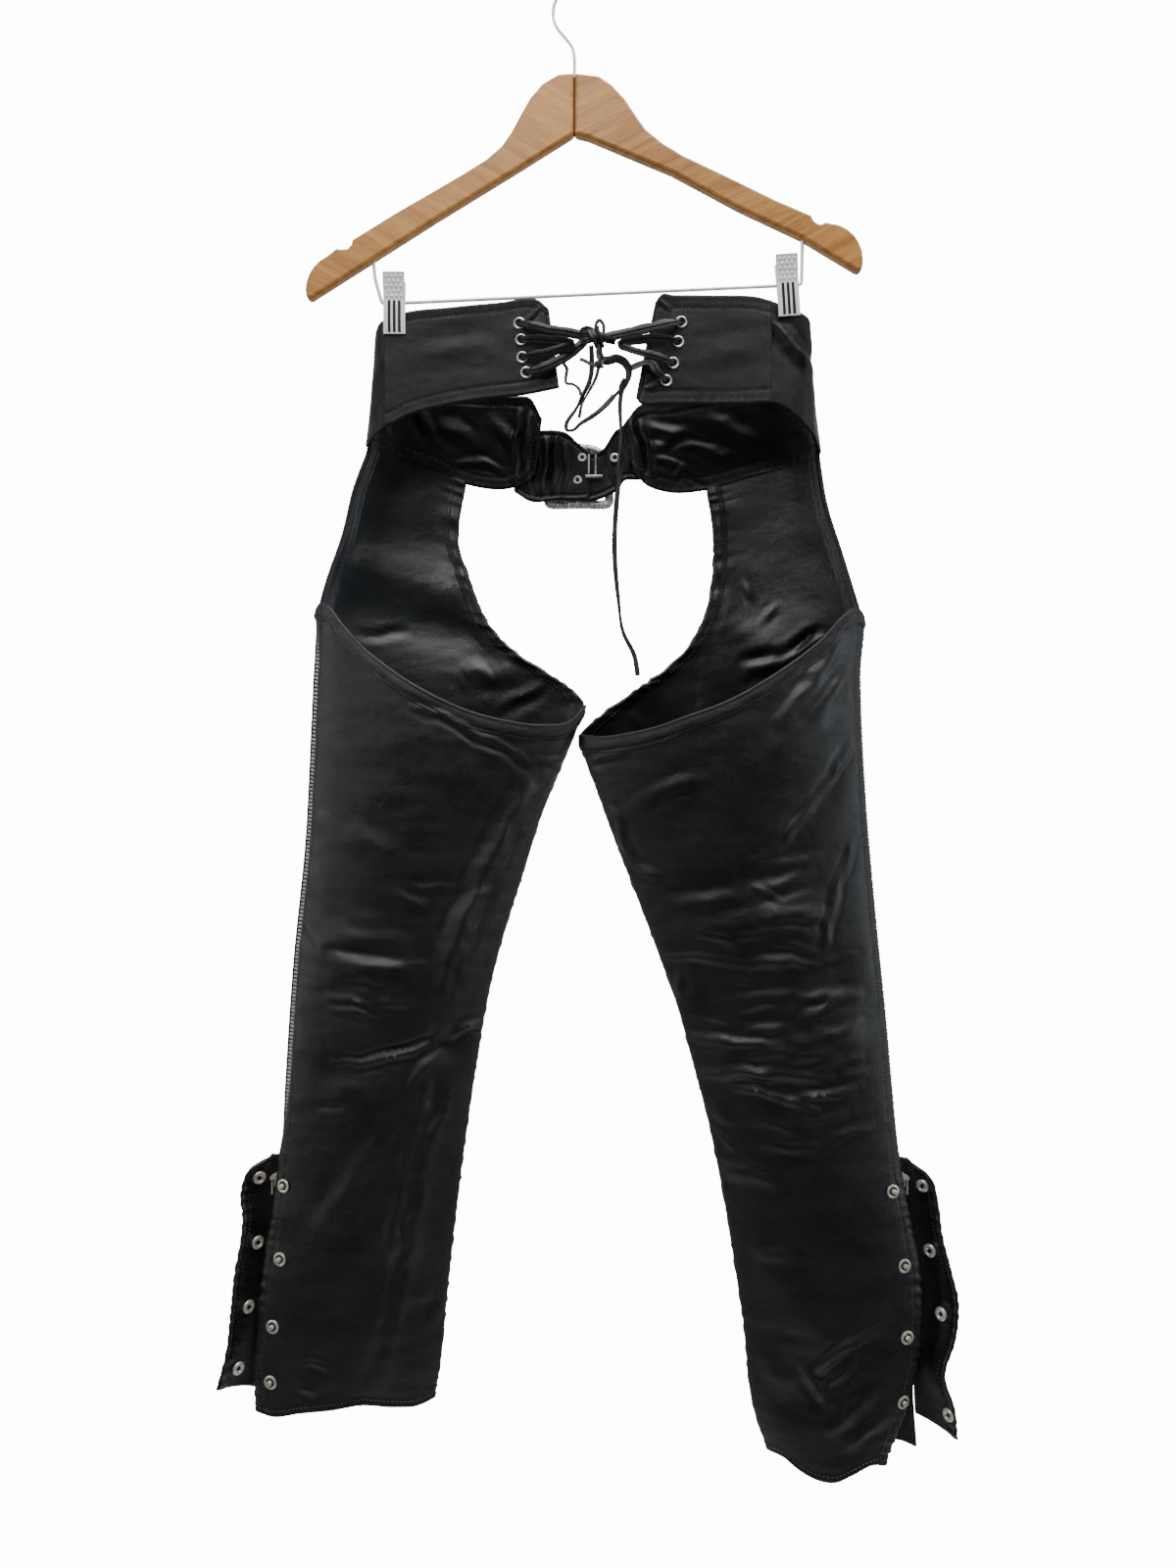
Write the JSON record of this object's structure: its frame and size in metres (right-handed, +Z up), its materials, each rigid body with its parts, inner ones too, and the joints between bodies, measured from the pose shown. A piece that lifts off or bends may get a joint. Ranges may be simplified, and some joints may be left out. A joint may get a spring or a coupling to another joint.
{
  "type": "leather chaps on clip hanger",
  "caption": "Open-seat black leather leg coverings with laced back yoke, front belt, side zips and snap flaps, held by clips under a wooden hanger.",
  "frame": {"origin": "inside of the top of the hanger's hook, where it bears on a rail", "axes": "+Z up, +X to the picture's right (the wearer's right), +Y from the garment's back towards its front, away from the viewer"},
  "size_m": [0.5907, 0.097, 1.1973],
  "materials": {
    "leather": "semi-gloss black grain",
    "yoke_leather": "satin charcoal grain",
    "lace_leather": "matt cut thong",
    "wood": "clear varnished beech",
    "chrome": "bright",
    "nickel": "worn antique nickel",
    "zip_metal": "dull zip teeth"
  },
  "bodies": {
    "garment": {"back_yoke_left": "yoke_leather", "back_yoke_right": "yoke_leather", "belt_strap_left": "leather", "belt_strap_right": "leather", "buckle_frame": "nickel", "buckle_tongue": "nickel", "clip_back_left": "chrome", "clip_back_right": "chrome", "clip_bar": "chrome", "clip_front_left": "chrome", "clip_front_right": "chrome", "eyelet_left_1": "nickel", "eyelet_left_2": "nickel", "eyelet_left_3": "nickel", "eyelet_left_4": "nickel", "eyelet_right_1": "nickel", "eyelet_right_2": "nickel", "eyelet_right_3": "nickel", "eyelet_right_4": "nickel", "front_yoke_left": "leather", "front_yoke_right": "leather", "hanger_arm_left": "wood", "hanger_arm_right": "wood", "hanger_hook": "chrome", "lace_knot": "lace_leather", "lace_left": "lace_leather", "lace_long_end": "lace_leather", "lace_loop": "lace_leather", "lace_right": "lace_leather", "lace_tail": "lace_leather", "lace_thin_end": "lace_leather", "leg_back_left": "leather", "leg_back_right": "leather", "leg_front_left": "leather", "leg_front_right": "leather", "snap_flap_left": "leather", "snap_flap_right": "leather", "snap_socket_left_1": "nickel", "snap_socket_left_2": "nickel", "snap_socket_left_3": "nickel", "snap_socket_left_4": "nickel", "snap_socket_right_1": "nickel", "snap_socket_right_2": "nickel", "snap_socket_right_3": "nickel", "snap_socket_right_4": "nickel", "snap_stud_left_1": "nickel", "snap_stud_left_2": "nickel", "snap_stud_left_3": "nickel", "snap_stud_left_4": "nickel", "snap_stud_right_1": "nickel", "snap_stud_right_2": "nickel", "snap_stud_right_3": "nickel", "snap_stud_right_4": "nickel", "zip_chain_left": "zip_metal", "zip_chain_right": "zip_metal", "zip_slider_left": "nickel", "zip_slider_right": "nickel"},
    "left_tab": {"zip_tab_left": "nickel"},
    "right_tab": {"zip_tab_right": "nickel"}
  },
  "joints": [
    {"name": "left_tab_swing", "type": "hinge", "parent": "garment", "child": "left_tab", "pos_m": [-0.24453, 0.01508, -0.95785], "axis": [0, 1, 0], "range_deg": [0, 25]},
    {"name": "right_tab_swing", "type": "hinge", "parent": "garment", "child": "right_tab", "pos_m": [0.26995, 0.01411, -0.95785], "axis": [0, 1, 0], "range_deg": [-25, 0]}
  ]
}
